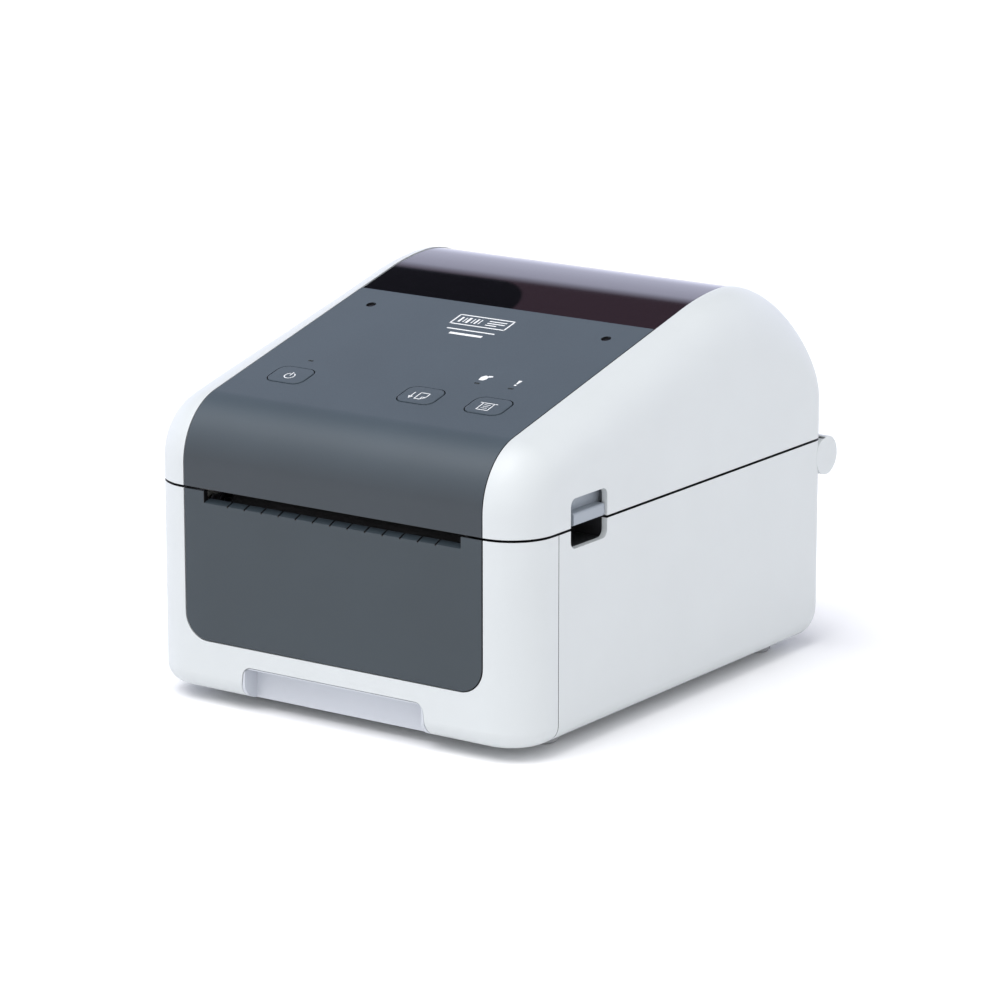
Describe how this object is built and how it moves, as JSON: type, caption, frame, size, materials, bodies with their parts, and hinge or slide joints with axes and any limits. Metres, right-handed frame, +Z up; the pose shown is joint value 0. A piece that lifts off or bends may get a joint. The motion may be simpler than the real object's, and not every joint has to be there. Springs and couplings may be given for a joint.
{
  "type": "label maker",
  "caption": "Desktop thermal label maker with a rear-hinged lid, front label slot, roll compartment, sprung lid latch and control keys.",
  "frame": {"origin": "middle of the footprint on the table, at the underside of the feet", "axes": "+X to the right seen from the front, the label slot faces -Y, +Z up"},
  "size_m": [0.18, 0.2237, 0.155],
  "materials": {
    "case_white": "fine moulded texture",
    "light_grey": "satin moulded",
    "panel_grey": "satin moulded",
    "key_grey": "satin",
    "latch_grey": "satin moulded",
    "inner_grey": "matt moulded",
    "black_plastic": "matt moulded",
    "smoked_window": "smoked polycarbonate",
    "led_lens": "diffuse lens",
    "rubber": "matt",
    "screw": "zinc plated",
    "zinc": "zinc plated",
    "spring_steel": "drawn wire",
    "motor_steel": "black coated",
    "port_steel": "nickel plated",
    "pcb": "solder mask",
    "aluminium": "extruded",
    "ceramic": "glazed",
    "gear_white": "acetal",
    "brass": "turned"
  },
  "bodies": {
    "root": {"lower_case": "case_white", "rubber_feet": "rubber", "base_screws": "screw", "front_bezel": "case_white", "finger_scoop": "light_grey", "front_panel": "panel_grey", "media_tray": "inner_grey", "pinion_post": "inner_grey", "chassis_frame": "zinc", "platen_bushings": "black_plastic", "feed_motor": "motor_steel", "motor_screws": "screw", "paper_guide": "inner_grey", "sensor_rail": "zinc", "main_board": "pcb", "board_chips": "black_plastic", "lan_port": "port_steel", "usb_host_port": "port_steel", "dc_inlet": "black_plastic", "usb_device_port": "port_steel", "serial_port": "port_steel", "serial_jackscrews": "screw", "socket_plate": "light_grey", "striker_pins": "zinc", "finger_pockets": "black_plastic", "hinge_pins": "zinc"},
    "cover": {"cover_shell": "case_white", "control_panel": "panel_grey", "smoked_window": "smoked_window", "led_lenses": "led_lens", "screw_caps": "black_plastic", "panel_board": "pcb", "cover_liner": "black_plastic", "tear_bar": "zinc", "head_springs": "spring_steel"},
    "print_head": {"head_bracket": "zinc", "heat_sink": "aluminium", "thermal_head": "ceramic"},
    "latch": {"latch_rod": "zinc", "left_latch_lever": "latch_grey", "right_latch_lever": "latch_grey", "latch_springs": "spring_steel"},
    "power_key": {"power_key": "key_grey"},
    "feed_key": {"feed_key": "key_grey"},
    "print_key": {"print_key": "key_grey"},
    "platen": {"platen_shaft": "zinc", "platen_rubber": "rubber", "platen_gear": "gear_white"},
    "idler": {"idler_gear": "gear_white"},
    "motor_shaft": {"motor_pinion": "brass"},
    "left_guide": {"left_roll_guide": "inner_grey"},
    "right_guide": {"right_roll_guide": "inner_grey"},
    "guide_pinion": {"guide_pinion": "gear_white"},
    "sensor": {"media_sensor": "black_plastic"}
  },
  "joints": [
    {"name": "cover_hinge", "type": "hinge", "parent": "root", "child": "cover", "pos_m": [0, 0.1037, 0.079], "axis": [-1, 0, 0], "range_deg": [0, 95]},
    {"name": "latch_release", "type": "hinge", "parent": "cover", "child": "latch", "pos_m": [0, -0.04, 0.092], "axis": [-1, 0, 0], "range_deg": [0, 8], "stiffness_Nm_per_rad": 0.3, "springref_deg": -17.19},
    {"name": "head_lift", "type": "hinge", "parent": "cover", "child": "print_head", "pos_m": [0, -0.064, 0.097], "axis": [-1, 0, 0], "range_deg": [0, 3], "stiffness_Nm_per_rad": 4, "springref_deg": -6.88, "deforming": ["head_springs"]},
    {"name": "power_key_press", "type": "slide", "parent": "cover", "child": "power_key", "axis": [0, 0.2476, -0.9689], "range_m": [0, 0.0006], "stiffness_N_per_m": 400, "springref_m": -0.0004},
    {"name": "feed_key_press", "type": "slide", "parent": "cover", "child": "feed_key", "axis": [0, 0.2476, -0.9689], "range_m": [0, 0.0006], "stiffness_N_per_m": 400, "springref_m": -0.0004},
    {"name": "print_key_press", "type": "slide", "parent": "cover", "child": "print_key", "axis": [0, 0.2476, -0.9689], "range_m": [0, 0.0006], "stiffness_N_per_m": 400, "springref_m": -0.0004},
    {"name": "platen_spin", "type": "hinge", "parent": "root", "child": "platen", "pos_m": [0, -0.096, 0.0775], "axis": [1, 0, 0], "continuous": true},
    {"name": "idler_spin", "type": "hinge", "parent": "root", "child": "idler", "pos_m": [-0.069, -0.08, 0.05732], "axis": [1, 0, 0], "continuous": true},
    {"name": "motor_spin", "type": "hinge", "parent": "root", "child": "motor_shaft", "pos_m": [-0.069, -0.07, 0.03801], "axis": [1, 0, 0], "continuous": true},
    {"name": "left_guide_slide", "type": "slide", "parent": "root", "child": "left_guide", "axis": [1, 0, 0], "range_m": [0, 0.049]},
    {"name": "right_guide_slide", "type": "slide", "parent": "root", "child": "right_guide", "axis": [1, 0, 0], "range_m": [-0.049, 0]},
    {"name": "guide_pinion_spin", "type": "hinge", "parent": "root", "child": "guide_pinion", "pos_m": [0, -0.011, 0.0145], "axis": [0, 0, 1], "range_deg": [-470, 470]},
    {"name": "sensor_slide", "type": "slide", "parent": "root", "child": "sensor", "axis": [1, 0, 0], "range_m": [-0.044, 0.044]}
  ],
  "couplings": [
    {"joint": "idler_spin", "follows": "platen_spin", "ratio": -0.6},
    {"joint": "motor_spin", "follows": "platen_spin", "ratio": 1.7143},
    {"joint": "right_guide_slide", "follows": "left_guide_slide", "ratio": -1},
    {"joint": "guide_pinion_spin", "follows": "left_guide_slide", "rad_per_m": 166.67}
  ]
}
